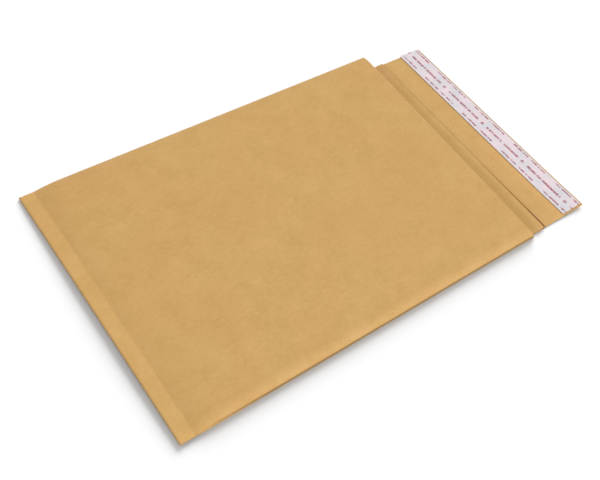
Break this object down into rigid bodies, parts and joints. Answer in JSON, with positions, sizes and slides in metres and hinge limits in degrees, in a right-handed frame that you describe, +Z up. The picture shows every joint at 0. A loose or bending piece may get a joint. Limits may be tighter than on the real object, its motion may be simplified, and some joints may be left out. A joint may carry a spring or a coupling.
{
  "type": "padded kraft envelope",
  "caption": "Flat kraft paper mailer with a bubble lining, a sealed bottom edge, notched mouth, plain lip and an open flap with an adhesive stripe under a release liner.",
  "frame": {"origin": "centre of the envelope's outer box, on the surface it lies on", "axes": "+X runs from the sealed bottom edge to the flap's end, +Y from the glued near side to the folded far side, +Z up out of the closing side"},
  "size_m": [0.4, 0.236, 0.0062],
  "materials": {
    "kraft": "smooth machine-glazed kraft paper, golden brown, low sheen",
    "bubble_film": "clear polyethylene bubble film, soft gloss",
    "adhesive": "pale amber pressure-sensitive hot melt, glossy",
    "liner": "white siliconed release paper with a faint rose print, satin"
  },
  "bodies": {
    "root": {"kraft_sleeve": "kraft", "bubble_lining": "bubble_film", "adhesive_stripe": "adhesive", "release_liner": "liner"}
  },
  "joints": []
}
